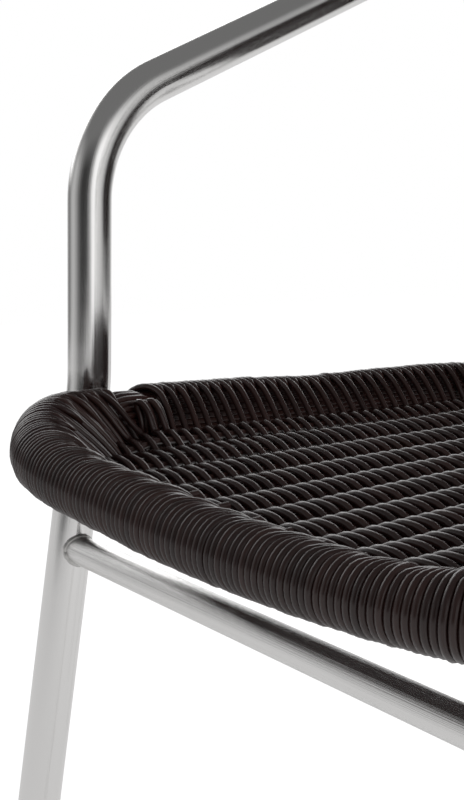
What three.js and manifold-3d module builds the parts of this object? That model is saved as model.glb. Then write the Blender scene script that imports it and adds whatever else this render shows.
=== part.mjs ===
// Rattan bistro chair: polished aluminium tube frame, wound seat rim, woven seat and back.
// Millimetres, +Z up, the front of the seat towards -Y, the sitter's right towards -X.
import * as THREE from 'three';
import { mergeVertices } from 'three/addons/utils/BufferGeometryUtils.js';
import Module from 'manifold-3d';

const wasm = await Module();
wasm.setup();

// Tubes of the frame
const tubeRadius = 12.5;
const tubeWall = 1.5;
const crossbarRadius = 8.5;
const crossbarWall = 1.5;
const railRadius = 8.5;
const railWall = 1.5;
const ringTubeRadius = 11;
const ringTubeWall = 1.5;

// Round plastic rattan strand
const strandDiameter = 4.2;
const strandsPerRib = 5;

// Clearances
const seatedGap = 0.3;
const weaveGap = 0.8;
const boltClearance = 0.4;
const weldSlit = 0.8;
const cutOverrun = 40;

// Seat ring, measured on its centre-line
const ringHalfWidth = 188;
const ringHalfDepth = 205;
const ringSquareness = 4.9;
const ringHeight = 430;
const ringBackDrop = 7;
const ringFrontSag = 5;
const ringCornerLift = 13;
const underwrapInset = 60;
const underwrapTaper = 40;
const seatDish = 16;
const dishSideLength = 50;
const dishEndLength = 20;

// Ribs of the seat's and the back's weave: three flattened strands side by side, under the cross strands
const weaveRibPitch = 24;
const weaveRibWidth = 12.6;
const weaveRibDepth = 3.6;
const seatRibShift = 3;

// Front legs and arms
const legClearance = 0.7;
const boltSetback = 83;
const frontFootSpread = 10;
const frontFootForward = 64.5;
const armRise = 153;
const armKneeLean = 4;
const armEndAhead = 101;
const armSlope = 0.435;
const kneeRadius = 150;
const armBendRadius = 77;

// Top of the back
const backBow = 195;
const backRise = 55;
const backRiseShare = 2.42;
const postShare = 0.41;

// Rear legs
const rearBoltTurn = 45;
const rearFootBack = 90;
const rearFootSpread = 19;
const postKneeAbove = 20;
const postKneeRadius = 120;

// Lower rail of the back, above the seat ring
const railAbove = 92;
const railBow = 42;

// Crossbars, below the seat ring
const crossbarBelow = 73.7;

// Foot plugs
const footHeight = 7;
const footFlange = 0.9;
const footInsert = 18;
const footTaper = 1.5;

// Seat bolts, spacers and nuts
const boltRadius = 2.5;
const boltHeadRadius = 4.8;
const boltHeadHeight = 2.9;
const boltHeadEdgeShare = 0.35;
const boltPastNut = 1.5;
const spacerRadius = 5.5;
const nutRadius = 4.6;
const nutHeight = 4;
const notchWidth = 18;

// Numbers of facets
const tubeSides = 12;
const ribSides = 8;
const boltSides = 12;
const nutSides = 6;
const backSteps = 20;
const bendSteps = 6;
const kneeSteps = 2;
const railSteps = 12;
const polarSamples = 2400;
const vertexMerge = 1e-4;
const seatRowShares = [0, 0.04, 0.12, 0.3, 0.7, 0.88, 0.96, 1];
const backRowShares = [0, 0.33, 0.67, 1];

const underwrapRadius = ringTubeRadius + seatedGap + strandDiameter;
const rollRadius = underwrapRadius + seatedGap + strandDiameter;
const ribPitch = strandsPerRib * strandDiameter;
const weaveHalfAtRib = strandDiameter + weaveRibDepth / 2;
const weaveHalfBetween = strandDiameter / 2;
const up = new THREE.Vector3(0, 0, 1);

const aluminium = { color: 0xc9cacf, roughness: 0.16, metalness: 1 };
const castAlloy = { color: 0xb4b5b9, roughness: 0.35, metalness: 1 };
const steel = { color: 0xb9bbbf, roughness: 0.3, metalness: 1 };
const rattan = { color: 0x2b2523, roughness: 0.45, metalness: 0 };
const plastic = { color: 0x1b1b1c, roughness: 0.6, metalness: 0 };

const chair = new THREE.Group();
chair.name = 'rattan_bistro_chair';

function addPiece(name, geometry, look) {
  const mesh = new THREE.Mesh(geometry, new THREE.MeshStandardMaterial(look));
  mesh.name = name;
  chair.add(mesh);
}

// Solids

function toSolid(geometry) {
  const bare = geometry.clone();
  bare.deleteAttribute('normal');
  bare.deleteAttribute('uv');
  const merged = mergeVertices(bare, vertexMerge);
  const vertProperties = new Float32Array(merged.attributes.position.array);
  const triVerts = new Uint32Array(merged.index.array);
  return new wasm.Manifold(new wasm.Mesh({ numProp: 3, vertProperties, triVerts }));
}

function toGeometry(solid) {
  const mesh = solid.getMesh();
  const geometry = new THREE.BufferGeometry();
  geometry.setAttribute('position', new THREE.BufferAttribute(new Float32Array(mesh.vertProperties), 3));
  geometry.setIndex(new THREE.BufferAttribute(new Uint32Array(mesh.triVerts), 1));
  geometry.computeVertexNormals();
  return geometry;
}

// Cuts one geometry by a list of others
function cut(geometry, cutters) {
  let solid = toSolid(geometry);
  for (const cutter of cutters) {
    solid = solid.subtract(toSolid(cutter));
  }
  return toGeometry(solid);
}

// Corner radius of a many-sided hole whose flats clear a round piece of this radius
function roundFlats(radius, sides) {
  return radius / Math.cos(Math.PI / sides);
}

// A station is a place on a path and the direction that its outer side faces

function station(point, outward) {
  return { point, outward };
}

function flipX(v) {
  return new THREE.Vector3(-v.x, v.y, v.z);
}

function mirrored(stations) {
  return stations.map((s) => station(flipX(s.point), flipX(s.outward))).reverse();
}

function framesOf(stations) {
  const count = stations.length;
  return stations.map((here, i) => {
    const before = stations[Math.max(i - 1, 0)].point;
    const after = stations[Math.min(i + 1, count - 1)].point;
    const arriving = new THREE.Vector3().subVectors(here.point, before).normalize();
    const leaving = new THREE.Vector3().subVectors(after, here.point).normalize();
    const tangent = arriving.add(leaving).normalize();
    const across = here.outward.clone().addScaledVector(tangent, -here.outward.dot(tangent)).normalize();
    const binormal = new THREE.Vector3().crossVectors(tangent, across);
    return { tangent, across, binormal };
  });
}

// A curve that passes through every station in turn, with its section held upright
class StationCurve extends THREE.Curve {
  constructor(stations) {
    super();
    this.stations = stations;
  }

  getPoint(t, target = new THREE.Vector3()) {
    const last = this.stations.length - 1;
    const place = Math.min(Math.max(t, 0), 1) * last;
    const index = Math.min(Math.floor(place), last - 1);
    return target.lerpVectors(this.stations[index].point, this.stations[index + 1].point, place - index);
  }

  getUtoTmapping(u) {
    return u;
  }

  computeFrenetFrames() {
    const frames = framesOf(this.stations);
    return {
      tangents: frames.map((f) => f.tangent),
      normals: frames.map((f) => f.across),
      binormals: frames.map((f) => f.binormal),
    };
  }
}

function circleShape(radius, holeRadius = 0) {
  const shape = new THREE.Shape();
  shape.absarc(0, 0, radius, 0, 2 * Math.PI, false);
  if (holeRadius > 0) {
    const hole = new THREE.Path();
    hole.absarc(0, 0, holeRadius, 0, 2 * Math.PI, true);
    shape.holes.push(hole);
  }
  return shape;
}

function tube(stations, radius, boreRadius, sides) {
  return new THREE.ExtrudeGeometry(circleShape(radius, boreRadius), {
    steps: stations.length - 1,
    curveSegments: sides / 2,
    extrudePath: new StationCurve(stations),
  });
}

// A bored roll whose outside follows every station and whose bore follows every second one
function boredRoll(stations, radii, bores) {
  const frames = framesOf(stations);
  const positions = [];
  const ringOf = (i, radius) => {
    const first = positions.length / 3;
    for (let k = 0; k < ribSides; k += 1) {
      const turn = (2 * Math.PI * k) / ribSides;
      const p = stations[i].point.clone();
      p.addScaledVector(frames[i].across, radius * Math.cos(turn));
      p.addScaledVector(frames[i].binormal, radius * Math.sin(turn));
      positions.push(p.x, p.y, p.z);
    }
    return first;
  };
  const outer = stations.map((s, i) => ringOf(i, radii[i]));
  const evens = stations.map((s, i) => i).filter((i) => i % 2 === 0);
  const bore = evens.map((i) => ringOf(i, bores[i]));
  const index = [];
  const bridge = (a, b) => {
    for (let k = 0; k < ribSides; k += 1) {
      const next = (k + 1) % ribSides;
      index.push(a + k, a + next, b + next);
      index.push(a + k, b + next, b + k);
    }
  };
  for (let i = 0; i + 1 < outer.length; i += 1) {
    bridge(outer[i], outer[i + 1]);
  }
  for (let i = 0; i + 1 < bore.length; i += 1) {
    bridge(bore[i + 1], bore[i]);
  }
  bridge(bore[0], outer[0]);
  bridge(outer[outer.length - 1], bore[bore.length - 1]);
  const geometry = new THREE.BufferGeometry();
  geometry.setAttribute('position', new THREE.Float32BufferAttribute(positions, 3));
  geometry.setIndex(index);
  geometry.computeVertexNormals();
  return geometry;
}

// A winding: one rib for each few turns of strand, valley at the even stations and crest at the odd ones
function winding(stations, boreAt, crestAt) {
  const radii = stations.map((s, i) => crestAt(s) - (i % 2 === 0 ? strandDiameter / 2 : 0));
  return boredRoll(stations, radii, stations.map(boreAt));
}

// Splits a straight or bent run into ribs with a station at each valley and each crest
function ribbed(pointAt, length, odd = false) {
  let ribs = Math.max(1, Math.round(length / ribPitch));
  if (odd && ribs % 2 === 0) {
    ribs += 1;
  }
  const stations = [];
  for (let i = 0; i <= 2 * ribs; i += 1) {
    stations.push(pointAt(i / (2 * ribs)));
  }
  return stations;
}

// A path of straight runs joined by round bends
function bentPath(corners, radii, steps, outward) {
  const points = [corners[0]];
  for (let i = 1; i + 1 < corners.length; i += 1) {
    const toBefore = new THREE.Vector3().subVectors(corners[i - 1], corners[i]).normalize();
    const toAfter = new THREE.Vector3().subVectors(corners[i + 1], corners[i]).normalize();
    const half = toBefore.angleTo(toAfter) / 2;
    const setback = radii[i - 1] / Math.tan(half);
    const bisector = new THREE.Vector3().addVectors(toBefore, toAfter).normalize();
    const centre = corners[i].clone().addScaledVector(bisector, radii[i - 1] / Math.sin(half));
    const start = corners[i].clone().addScaledVector(toBefore, setback).sub(centre);
    const end = corners[i].clone().addScaledVector(toAfter, setback).sub(centre);
    const sweep = start.angleTo(end);
    const axis = new THREE.Vector3().crossVectors(start, end).normalize();
    for (let k = 0; k <= steps[i - 1]; k += 1) {
      const turned = start.clone().applyAxisAngle(axis, (sweep * k) / steps[i - 1]);
      points.push(turned.add(centre));
    }
  }
  points.push(corners[corners.length - 1]);
  return points.map((p) => station(p, outward));
}

function rodAlong(from, to, radius, sides, holeRadius = 0) {
  const along = new THREE.Vector3().subVectors(to, from);
  const geometry = new THREE.ExtrudeGeometry(circleShape(radius, holeRadius), {
    depth: along.length(),
    steps: 1,
    curveSegments: sides / 2,
    bevelEnabled: false,
  });
  geometry.applyQuaternion(new THREE.Quaternion().setFromUnitVectors(up, along.clone().normalize()));
  geometry.translate(from.x, from.y, from.z);
  return geometry;
}

function latheAlong(profile, from, direction, sides) {
  const latheAxis = new THREE.Vector3(0, 1, 0);
  const geometry = new THREE.LatheGeometry(profile.map(([r, h]) => new THREE.Vector2(r, h)), sides);
  geometry.applyQuaternion(new THREE.Quaternion().setFromUnitVectors(latheAxis, direction));
  geometry.translate(from.x, from.y, from.z);
  return geometry;
}

// Seat ring: a rounded square, taken by turn from the back middle and round over -X

function ringPlan(turn) {
  const c = Math.cos(turn);
  const s = Math.sin(turn);
  const x = Math.abs(s / ringHalfWidth) ** ringSquareness;
  const y = Math.abs(c / ringHalfDepth) ** ringSquareness;
  const reach = (x + y) ** (-1 / ringSquareness);
  return new THREE.Vector3(-reach * s, reach * c, 0);
}

function ringHeightAt(point) {
  const fromFront = (point.y + ringHalfDepth) / (2 * ringHalfDepth);
  const forward = Math.max(-point.y / ringHalfDepth, 0);
  const sideways = point.x / ringHalfWidth;
  const lift = ringCornerLift * sideways * sideways - ringFrontSag;
  return ringHeight - ringBackDrop * fromFront + lift * forward * forward;
}

const ringSamples = [];
let ringLength = 0;
for (let i = 0; i <= polarSamples; i += 1) {
  const point = ringPlan((2 * Math.PI * i) / polarSamples);
  if (i > 0) {
    ringLength += point.distanceTo(ringSamples[i - 1].point);
  }
  ringSamples.push({ point, along: ringLength });
}

function ringStationAt(along) {
  const wrapped = ((along % ringLength) + ringLength) % ringLength;
  let low = 0;
  let high = polarSamples;
  while (high - low > 1) {
    const middle = Math.floor((low + high) / 2);
    if (ringSamples[middle].along > wrapped) {
      high = middle;
    } else {
      low = middle;
    }
  }
  const a = ringSamples[low];
  const b = ringSamples[high];
  const share = (wrapped - a.along) / (b.along - a.along);
  const point = new THREE.Vector3().lerpVectors(a.point, b.point, share);
  const outward = new THREE.Vector3(a.point.y - b.point.y, b.point.x - a.point.x, 0).normalize();
  outward.multiplyScalar(Math.sign(outward.dot(point)));
  point.z = ringHeightAt(point);
  return station(point, outward);
}

function alongWhere(test) {
  return ringSamples.find((s) => test(s.point)).along;
}

const frontBoltY = -ringHalfDepth + boltSetback;
const rearBoltAngle = THREE.MathUtils.degToRad(rearBoltTurn);
const turnOf = (p) => Math.atan2(-p.x / ringHalfWidth, p.y / ringHalfDepth);
const alongRearLeft = alongWhere((p) => turnOf(p) > rearBoltAngle);
const alongFrontLeft = alongWhere((p) => p.x < 0 && p.y < frontBoltY);
const notchHalf = notchWidth / 2;

// A bolt stands in the middle of the short straight between the two edges of its notch
function notchMiddle(along) {
  const a = ringStationAt(along - notchHalf);
  const b = ringStationAt(along + notchHalf);
  const point = new THREE.Vector3().lerpVectors(a.point, b.point, 0.5);
  return station(point, new THREE.Vector3().addVectors(a.outward, b.outward).normalize());
}

const frontBolt = notchMiddle(alongFrontLeft);
const rearBolt = notchMiddle(alongRearLeft);

// Runs of the ring between the notches at the bolts
function ringRun(from, to, odd = false) {
  return ribbed((share) => ringStationAt(from + (to - from) * share), to - from, odd);
}

const backRun = ringRun(notchHalf - alongRearLeft, alongRearLeft - notchHalf, true);
const sideLeftRun = ringRun(alongRearLeft + notchHalf, alongFrontLeft - notchHalf);
const frontRun = ringRun(alongFrontLeft + notchHalf, ringLength - alongFrontLeft - notchHalf, true);
const sideRightRun = mirrored(sideLeftRun);
const valleysOf = (stations) => stations.filter((s, i) => i % 2 === 0);
const backLeftHalf = valleysOf(backRun).filter((s) => s.point.x < 0);
const ringLeft = [ringStationAt(weldSlit / 2), ...backLeftHalf, ...valleysOf(sideLeftRun)];
const ringStations = [...ringLeft, ...valleysOf(frontRun), ...mirrored(ringLeft)];

// The lengthwise strands end round the front corners, and the winding there comes down onto the bare ring

const seatBore = underwrapRadius + seatedGap;
const bareBore = ringTubeRadius + seatedGap;
const underwrapEnd = ringHalfWidth - underwrapInset;

function seatBoreAt(s) {
  const past = s.point.y < 0 ? Math.max(underwrapEnd - Math.abs(s.point.x), 0) : 0;
  return seatBore + (bareBore - seatBore) * Math.min(past / underwrapTaper, 1);
}

function seatRollAt(s) {
  return seatBoreAt(s) + strandDiameter;
}

const wrapped = ringStations.slice(1, -1).filter((s) => seatBoreAt(s) === seatBore);
const wrappedLeft = wrapped.filter((s) => s.point.x < 0);
const underwrapStations = [...mirrored(wrappedLeft), ...wrappedLeft];

// Front legs, arms and top of the back: one tube

// A leg stands off the ring by the wound roll, square to the ring
const legReach = rollRadius + legClearance + tubeRadius;

function besideRing(bolt) {
  return bolt.point.clone().addScaledVector(bolt.outward, legReach);
}

function kneeAbove(atRing, foot, rise) {
  const axis = new THREE.Vector3().subVectors(atRing, foot);
  return atRing.clone().addScaledVector(axis, rise / axis.z);
}

const legAtRing = besideRing(frontBolt);
const frontFoot = new THREE.Vector3(legAtRing.x - frontFootSpread, legAtRing.y - frontFootForward, 0);
const legKnee = kneeAbove(legAtRing, frontFoot, rollRadius);
const armKnee = new THREE.Vector3(legKnee.x, legKnee.y + armKneeLean, legKnee.z + armRise);
const armRun = 2 * ringHalfDepth - boltSetback - armEndAhead;
const armEnd = new THREE.Vector3(armKnee.x, armKnee.y + armRun, armKnee.z + armSlope * armRun);

function backStationAt(share) {
  const turn = (share * Math.PI) / 2;
  const climb = 1 - (1 - share) ** backRiseShare;
  const point = new THREE.Vector3(
    armEnd.x * Math.cos(turn),
    armEnd.y + backBow * Math.sin(turn),
    armEnd.z + backRise * climb,
  );
  const outward = new THREE.Vector3(Math.cos(turn) / armEnd.x, Math.sin(turn) / backBow, 0).normalize();
  return station(point, outward);
}

const footAxis = (foot, knee) => new THREE.Vector3().subVectors(knee, foot).normalize();
const frontFootAxis = footAxis(frontFoot, legKnee);
const frontTubeEnd = frontFoot.clone().addScaledVector(frontFootAxis, footHeight);
const leftward = new THREE.Vector3(-1, 0, 0);
const leftArmPath = bentPath(
  [frontTubeEnd, legKnee, armKnee, armEnd],
  [kneeRadius, armBendRadius],
  [kneeSteps, bendSteps],
  leftward,
);
const backShares = Array.from({ length: backSteps / 2 }, (v, i) => (i + 1) / (backSteps / 2));
const leftBackPath = backShares.map(backStationAt);
const mainLeft = [...leftArmPath, ...leftBackPath];
const mainPath = [...mainLeft, ...mirrored(mainLeft).slice(1)];

// Rear legs, which go on up as the posts of the back

const postAtRing = besideRing(rearBolt);
const rearFoot = new THREE.Vector3(postAtRing.x - rearFootSpread, postAtRing.y + rearFootBack, 0);
const postKnee = kneeAbove(postAtRing, rearFoot, postKneeAbove);
const rearFootAxis = footAxis(rearFoot, postKnee);
const rearTubeEnd = rearFoot.clone().addScaledVector(rearFootAxis, footHeight);
const postTop = backStationAt(postShare).point;
const postAxis = new THREE.Vector3().subVectors(postTop, postKnee).normalize();
const rearPath = bentPath([rearTubeEnd, postKnee, postTop], [postKneeRadius], [kneeSteps], leftward);

const onPost = (z) => postKnee.clone().addScaledVector(postAxis, (z - postKnee.z) / postAxis.z);
const onLeg = (foot, axis, z) => foot.clone().addScaledVector(axis, (z - foot.z) / axis.z);

// Lower rail of the back: a flat bow between the posts

const railEnd = onPost(postAtRing.z + railAbove);

function railStationAt(share) {
  const x = railEnd.x * (1 - 2 * share);
  const lean = x / railEnd.x;
  const point = new THREE.Vector3(x, railEnd.y + railBow * (1 - lean * lean), railEnd.z);
  const slope = (-2 * railBow * x) / (railEnd.x * railEnd.x);
  return station(point, new THREE.Vector3(-slope, 1, 0).normalize());
}

// Seat bolts: from outside the leg, through the seat ring, to a nut inside it

function boltSet(name, legPoint, ringPoint, legAxis) {
  const inward = new THREE.Vector3().subVectors(ringPoint, legPoint).normalize();
  const tilt = Math.asin(Math.abs(inward.dot(legAxis)));
  const headStandOff = (tubeRadius + seatedGap) / Math.cos(tilt) + boltHeadRadius * Math.tan(tilt);
  const headSeat = legPoint.clone().addScaledVector(inward, -headStandOff);
  const nutSeat = ringPoint.clone().addScaledVector(inward, ringTubeRadius + seatedGap);
  const nutEnd = nutSeat.clone().addScaledVector(inward, nutHeight);
  const shank = headSeat.distanceTo(nutEnd) + boltPastNut;
  const headProfile = [
    [0, -boltHeadHeight],
    [boltHeadRadius * (1 - boltHeadEdgeShare), -boltHeadHeight],
    [boltHeadRadius, -boltHeadHeight * boltHeadEdgeShare],
    [boltHeadRadius, 0],
    [boltRadius, 0],
    [boltRadius, shank],
    [0, shank],
  ];
  const drill = rodAlong(
    legPoint.clone().addScaledVector(inward, -cutOverrun),
    ringPoint.clone().addScaledVector(inward, cutOverrun),
    boltRadius + boltClearance,
    boltSides,
  );
  return {
    name,
    bolt: latheAlong(headProfile, headSeat, inward, boltSides),
    spacer: rodAlong(legPoint, ringPoint, spacerRadius, boltSides, boltRadius + boltClearance),
    nut: rodAlong(nutSeat, nutEnd, nutRadius, nutSides, roundFlats(boltRadius + seatedGap, nutSides)),
    drill,
    underwrapDrill: rodAlong(
      ringPoint.clone().addScaledVector(inward, -cutOverrun),
      ringPoint.clone().addScaledVector(inward, cutOverrun),
      spacerRadius + boltClearance,
      boltSides,
    ),
  };
}

const boltSets = [
  boltSet('front_left', legAtRing, frontBolt.point, frontFootAxis),
  boltSet('front_right', flipX(legAtRing), flipX(frontBolt.point), flipX(frontFootAxis)),
  boltSet('rear_left', postAtRing, rearBolt.point, rearFootAxis),
  boltSet('rear_right', flipX(postAtRing), flipX(rearBolt.point), flipX(rearFootAxis)),
];
const drills = boltSets.map((set) => set.drill);

// Frame pieces

const fatMain = tube(mainPath, tubeRadius + seatedGap, 0, tubeSides);
const rearRightPath = mirrored(rearPath);
const fatRearLeft = tube(rearPath, tubeRadius + seatedGap, 0, tubeSides);
const fatRearRight = tube(rearRightPath, tubeRadius + seatedGap, 0, tubeSides);

const tubeBoreRadius = tubeRadius - tubeWall;
addPiece('main_tube', cut(tube(mainPath, tubeRadius, tubeBoreRadius, tubeSides), drills), aluminium);
for (const [name, path] of [['rear_left_leg', rearPath], ['rear_right_leg', rearRightPath]]) {
  const leg = tube(path, tubeRadius, tubeBoreRadius, tubeSides);
  addPiece(name, cut(leg, [fatMain, ...drills]), aluminium);
}

function crossbar(name, legPoint, cutters) {
  const bar = rodAlong(legPoint, flipX(legPoint), crossbarRadius, tubeSides, crossbarRadius - crossbarWall);
  addPiece(name, cut(bar, cutters), aluminium);
}

const crossbarZ = ringHeight - crossbarBelow;
crossbar('front_crossbar', onLeg(frontFoot, frontFootAxis, crossbarZ), [fatMain]);
crossbar('rear_crossbar', onLeg(rearFoot, rearFootAxis, crossbarZ), [fatRearLeft, fatRearRight]);

const railPath = Array.from({ length: railSteps + 1 }, (v, i) => railStationAt(i / railSteps));
const railTube = tube(railPath, railRadius, railRadius - railWall, tubeSides);
addPiece('back_lower_rail', cut(railTube, [fatRearLeft, fatRearRight]), aluminium);

// Seat ring, open at its weld in the back middle, and the lengthwise strands laid on it

const ringTube = tube(ringStations, ringTubeRadius, ringTubeRadius - ringTubeWall, ribSides);
addPiece('seat_ring_tube', cut(ringTube, drills), aluminium);
const underwrap = tube(underwrapStations, underwrapRadius, bareBore, ribSides);
addPiece('seat_rim_underwrap', cut(underwrap, boltSets.map((set) => set.underwrapDrill)), rattan);

addPiece('seat_front_winding', winding(frontRun, seatBoreAt, seatRollAt), rattan);
addPiece('seat_left_winding', winding(sideLeftRun, seatBoreAt, seatRollAt), rattan);
addPiece('seat_right_winding', winding(sideRightRun, seatBoreAt, seatRollAt), rattan);
addPiece('seat_back_winding', winding(backRun, seatBoreAt, seatRollAt), rattan);

// Woven mats: thick over each rib, where strands pass above and below it, and one strand thick between

// Places across a mat: its edges, its ribs, and the middle between each two ribs
function matPlaces(reach, shift) {
  const room = 2 * (reach - Math.abs(shift)) - weaveRibWidth;
  const gaps = Math.floor(room / weaveRibPitch);
  const places = [{ across: -reach, half: weaveHalfBetween }];
  for (let k = 0; k <= 2 * gaps; k += 1) {
    const half = k % 2 === 0 ? weaveHalfAtRib : weaveHalfBetween;
    places.push({ across: ((k - gaps) * weaveRibPitch) / 2 + shift, half });
  }
  places.push({ across: reach, half: weaveHalfBetween });
  return places;
}

// A closed mat from columns of places, each with its point on one face and on the other
function mat(columns) {
  const positions = [];
  const numbered = (p) => {
    positions.push(p.x, p.y, p.z);
    return positions.length / 3 - 1;
  };
  const at = columns.map((column) => column.map((faces) => faces.map(numbered)));
  const index = [];
  const quad = (a, b, c, d) => index.push(a, b, c, a, c, d);
  const lastColumn = at.length - 1;
  const lastRow = at[0].length - 1;
  for (let c = 0; c < lastColumn; c += 1) {
    for (let r = 0; r < lastRow; r += 1) {
      quad(at[c][r][0], at[c + 1][r][0], at[c + 1][r + 1][0], at[c][r + 1][0]);
      quad(at[c][r][1], at[c][r + 1][1], at[c + 1][r + 1][1], at[c + 1][r][1]);
    }
    quad(at[c][0][0], at[c][0][1], at[c + 1][0][1], at[c + 1][0][0]);
    quad(at[c][lastRow][0], at[c + 1][lastRow][0], at[c + 1][lastRow][1], at[c][lastRow][1]);
  }
  for (let r = 0; r < lastRow; r += 1) {
    quad(at[0][r][0], at[0][r + 1][0], at[0][r + 1][1], at[0][r][1]);
    quad(at[lastColumn][r][0], at[lastColumn][r][1], at[lastColumn][r + 1][1], at[lastColumn][r + 1][0]);
  }
  const geometry = new THREE.BufferGeometry();
  geometry.setAttribute('position', new THREE.Float32BufferAttribute(positions, 3));
  geometry.setIndex(index);
  geometry.computeVertexNormals();
  return geometry;
}

// Seat weave: a dished mat inside the wound rim, with its ribs from front to back

function seatWeave() {
  const inside = (s) => s.point.clone().addScaledVector(s.outward, -seatRollAt(s) - seatedGap);
  const rim = ringStations.map(inside);
  const crossings = (axis, value) => {
    const hits = [];
    rim.forEach((p, i) => {
      const q = rim[(i + 1) % rim.length];
      const share = (value - p[axis]) / (q[axis] - p[axis]);
      if (share >= 0 && share < 1) hits.push(new THREE.Vector3().lerpVectors(p, q, share));
    });
    return hits.sort((a, b) => a.y - b.y || a.x - b.x);
  };
  const halfWide = Math.max(...rim.map((p) => p.x));
  const halfLong = Math.max(...rim.map((p) => p.y));
  const risen = (length, scale) => 1 - Math.exp(-length / scale);
  const places = matPlaces(halfWide - weaveHalfBetween, seatRibShift);
  const columns = places.map(({ across, half }, c) => {
    const [front, back] = crossings('x', across);
    const edge = c === 0 || c === places.length - 1;
    return seatRowShares.map((share) => {
      const p = new THREE.Vector3().lerpVectors(front, back, share);
      if (edge && share > 0 && share < 1) {
        p.x = crossings('y', p.y)[c === 0 ? 0 : 1].x;
      }
      const fromEnd = Math.min(p.y - front.y, back.y - p.y);
      const depth = seatDish * risen(halfWide - Math.abs(p.x), dishSideLength) * risen(fromEnd, dishEndLength);
      const onRing = { x: (p.x * ringHalfWidth) / halfWide, y: (p.y * ringHalfDepth) / halfLong };
      const middle = ringHeightAt(onRing) - depth;
      return [new THREE.Vector3(p.x, p.y, middle + half), new THREE.Vector3(p.x, p.y, middle - half)];
    });
  });
  return mat(columns);
}

addPiece('seat_weave', seatWeave(), rattan);

// Windings of the back; a bore of flats clears the round tube inside it

const tubeBore = roundFlats(tubeRadius + seatedGap, ribSides);
const tubeRoll = tubeRadius + seatedGap + strandDiameter;
const tubeBoreAt = () => tubeBore;
const tubeRollAt = () => tubeRoll;
const railBore = roundFlats(railRadius + seatedGap, ribSides);
const railRoll = railRadius + seatedGap + strandDiameter;

// The stretch of the top between the posts follows the tube's own stations, with a crest between each two
function topWindingStations() {
  const clear = -postTop.x - tubeRoll - seatedGap;
  const between = mainPath.filter((s) => Math.abs(s.point.x) < clear && s.point.y > armEnd.y);
  const stations = [];
  between.forEach((s, i) => {
    if (i > 0) {
      const before = between[i - 1];
      const middle = new THREE.Vector3().lerpVectors(before.point, s.point, 0.5);
      const outward = new THREE.Vector3().addVectors(before.outward, s.outward).normalize();
      stations.push(station(middle, outward));
    }
    stations.push(s);
  });
  return stations;
}

const topStations = topWindingStations();
addPiece('back_top_winding', winding(topStations, tubeBoreAt, tubeRollAt), rattan);

function railWindingStations() {
  const gap = (tubeRadius + railRoll) / (2 * Math.abs(railEnd.x));
  const first = Math.ceil(gap * railSteps);
  const stations = [];
  for (let i = 2 * first; i <= 2 * (railSteps - first); i += 1) {
    const here = Math.floor(i / 2);
    if (i % 2 === 0) {
      stations.push(railPath[here]);
    } else {
      const middle = new THREE.Vector3().lerpVectors(railPath[here].point, railPath[here + 1].point, 0.5);
      stations.push(station(middle, railPath[here].outward));
    }
  }
  return stations;
}

const railStations = railWindingStations();
addPiece('back_rail_winding', winding(railStations, () => railBore, () => railRoll), rattan);

const postFrom = onPost(railEnd.z + railRadius + tubeRoll / 2);
const postTo = onPost(postTop.z - tubeRadius - tubeRoll);
const postRun = ribbed(
  (share) => station(new THREE.Vector3().lerpVectors(postFrom, postTo, share), leftward),
  postFrom.distanceTo(postTo),
);
addPiece('back_left_winding', winding(postRun, tubeBoreAt, tubeRollAt), rattan);
addPiece('back_right_winding', winding(mirrored(postRun), tubeBoreAt, tubeRollAt), rattan);

// Back weave: a bowed mat from the lower rail to the top, between the posts

function backWeave() {
  const inset = (tubeRoll + weaveGap) / -postTop.x;
  const halfWide = -railEnd.x;
  const spans = matPlaces((1 - inset) * halfWide, 0).map(({ across, half }) => {
    const q = across / halfWide;
    const lower = railStationAt((1 + q) / 2).point;
    const turn = Math.acos(Math.min(Math.abs((q * postTop.x) / armEnd.x), 1));
    const upper = backStationAt((2 * turn) / Math.PI).point;
    upper.x = Math.sign(q || 1) * Math.abs(upper.x);
    lower.x = Math.sign(q || 1) * Math.abs(lower.x);
    const rise = new THREE.Vector3().subVectors(upper, lower).normalize();
    lower.addScaledVector(rise, railRoll + weaveGap);
    upper.addScaledVector(rise, -tubeRoll - weaveGap);
    return { lower, upper, half };
  });
  const columns = spans.map(({ lower, upper, half }, c) => {
    const before = spans[Math.max(c - 1, 0)];
    const after = spans[Math.min(c + 1, spans.length - 1)];
    const across = new THREE.Vector3().subVectors(after.lower, before.lower);
    const rise = new THREE.Vector3().subVectors(upper, lower);
    const backward = new THREE.Vector3().crossVectors(rise, across).normalize();
    return backRowShares.map((share) => {
      const p = new THREE.Vector3().lerpVectors(lower, upper, share);
      return [-half, half].map((offset) => p.clone().addScaledVector(backward, offset));
    });
  });
  return mat(columns);
}

addPiece('back_weave', backWeave(), rattan);

// Bolts, spacers coped to the leg and the ring, and nuts

const fatRing = tube(ringStations, ringTubeRadius + seatedGap, 0, ribSides);
const spacerCutters = [fatMain, fatRearLeft, fatRearRight, fatRing];
for (const set of boltSets) {
  addPiece(`${set.name}_seat_bolt`, set.bolt, steel);
  addPiece(`${set.name}_spacer`, cut(set.spacer, spacerCutters), castAlloy);
  addPiece(`${set.name}_nut`, set.nut, steel);
}

// Foot plugs: pushed into the tube ends and cut level with the floor

function footPlug(name, foot, axis) {
  const bore = tubeBoreRadius - seatedGap;
  const flange = tubeRadius + footFlange;
  const top = footHeight - seatedGap;
  const profile = [
    [0, -footHeight],
    [flange, -footHeight],
    [flange, top],
    [bore, top],
    [bore, top + footInsert - footTaper],
    [bore - footTaper, top + footInsert],
    [0, top + footInsert],
  ];
  const plug = latheAlong(profile, foot, axis, tubeSides);
  const below = new THREE.BoxGeometry(2 * cutOverrun, 2 * cutOverrun, cutOverrun);
  below.translate(foot.x, foot.y, -cutOverrun / 2);
  addPiece(name, cut(plug, [below]), plastic);
}

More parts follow.
